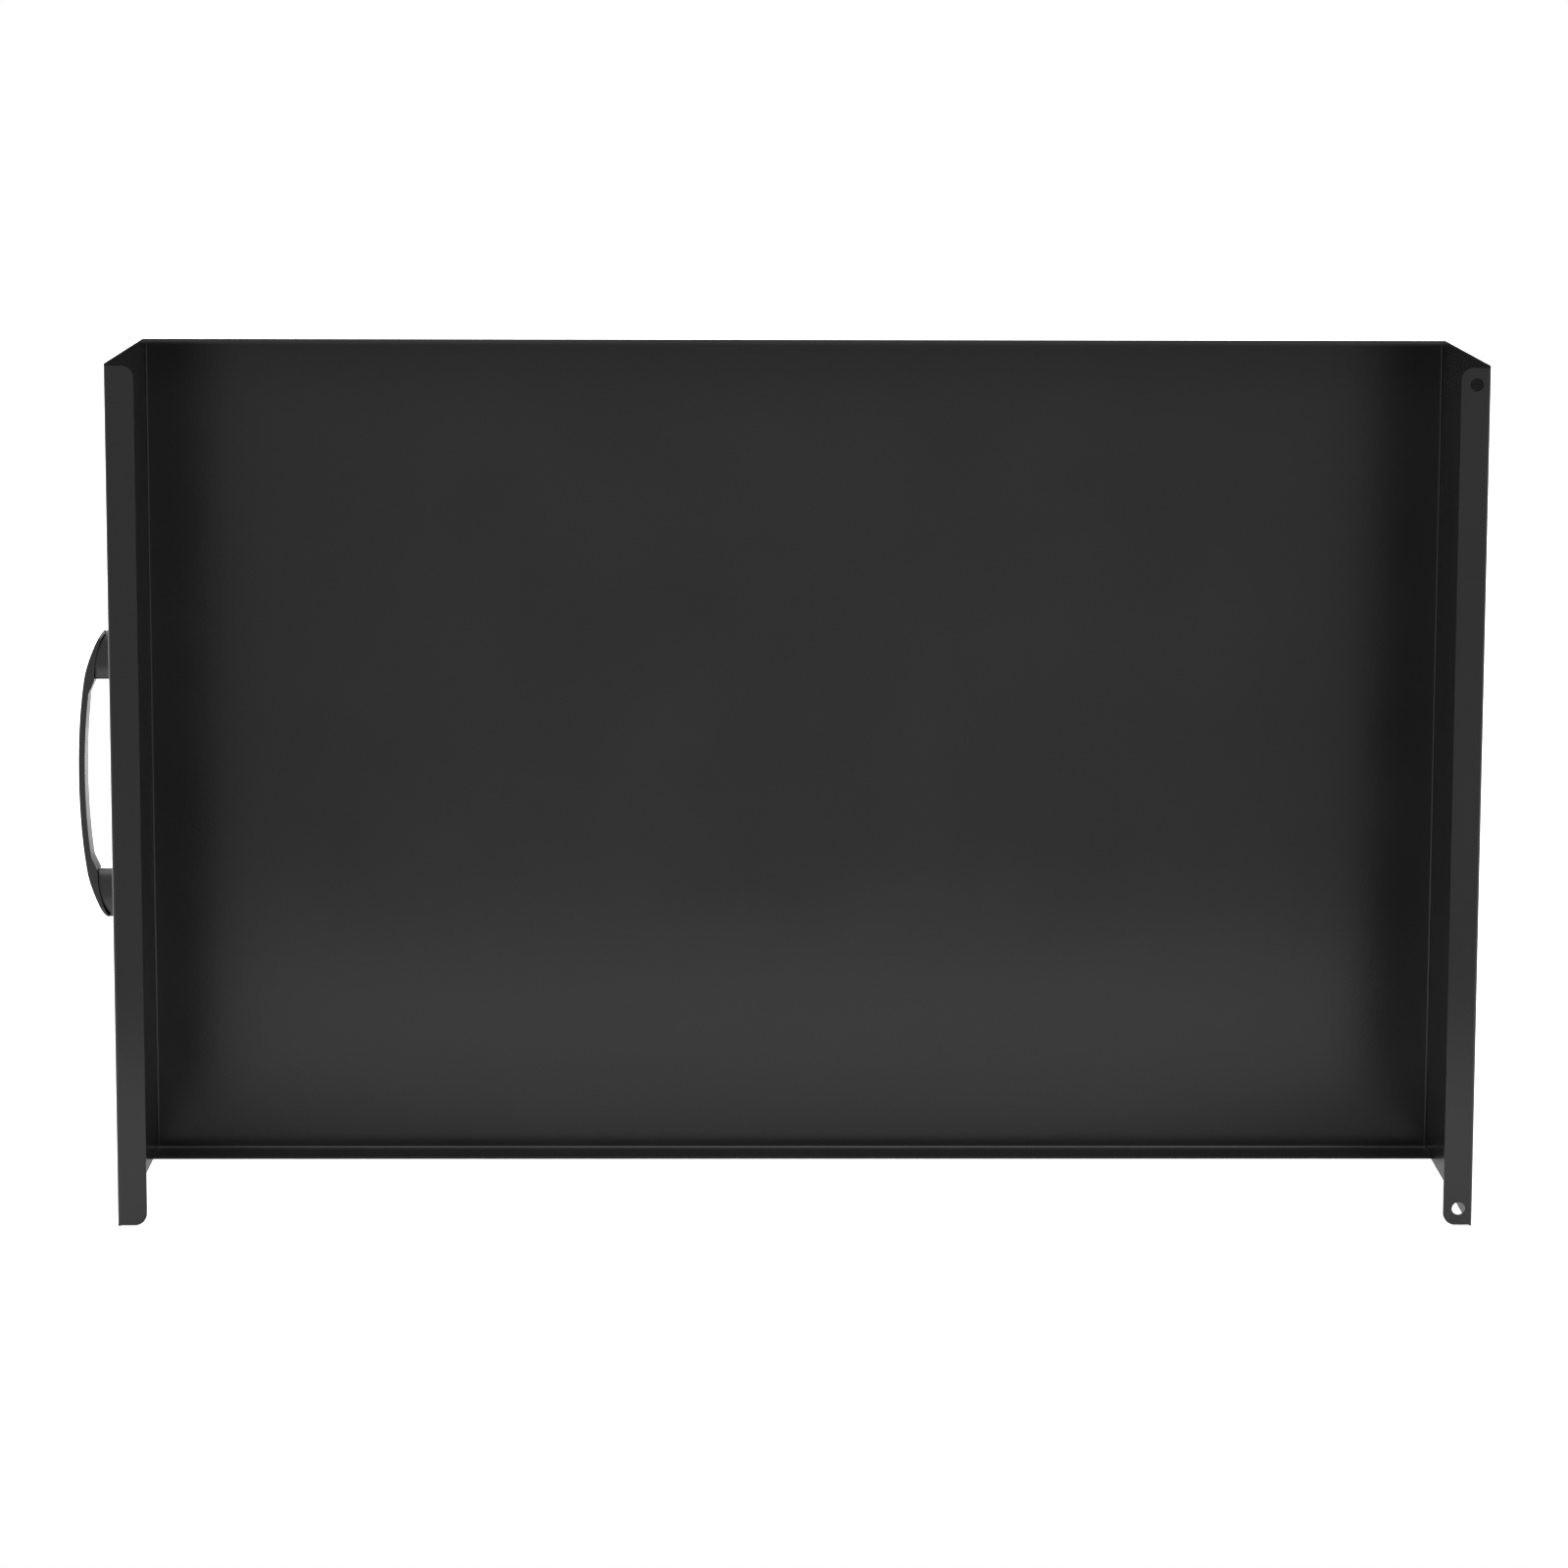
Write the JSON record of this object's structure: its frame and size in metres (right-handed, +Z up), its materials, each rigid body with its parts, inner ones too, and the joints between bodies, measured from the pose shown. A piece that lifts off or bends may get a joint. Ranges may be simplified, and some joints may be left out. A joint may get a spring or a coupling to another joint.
{
  "type": "fireplace screen",
  "caption": "Freestanding folded sheet-steel fireplace screen with deep side wings, return flanges with hanging holes, and a bow handle on one wing.",
  "frame": {"origin": "centre of the lower lip's underside, the face that the screen stands on", "axes": "+X along the long side, from the wing with the handle to the wing whose flange has the holes; +Y from the open side to the back of the panel; +Z up"},
  "size_m": [0.9483, 0.19, 0.584],
  "materials": {
    "powder_coated_steel": "satin black powder coat with a fine texture",
    "handle_plastic": "satin black glass-filled moulding",
    "zinc_plated_steel": "bright zinc plate",
    "insert_brass": "turned and knurled"
  },
  "bodies": {
    "root": {"screen_sheet": "powder_coated_steel", "handle_grip": "handle_plastic", "handle_insert_upper": "insert_brass", "handle_insert_lower": "insert_brass", "handle_screw_upper": "zinc_plated_steel", "handle_screw_lower": "zinc_plated_steel", "flat_washer_upper": "zinc_plated_steel", "flat_washer_lower": "zinc_plated_steel"}
  },
  "joints": []
}
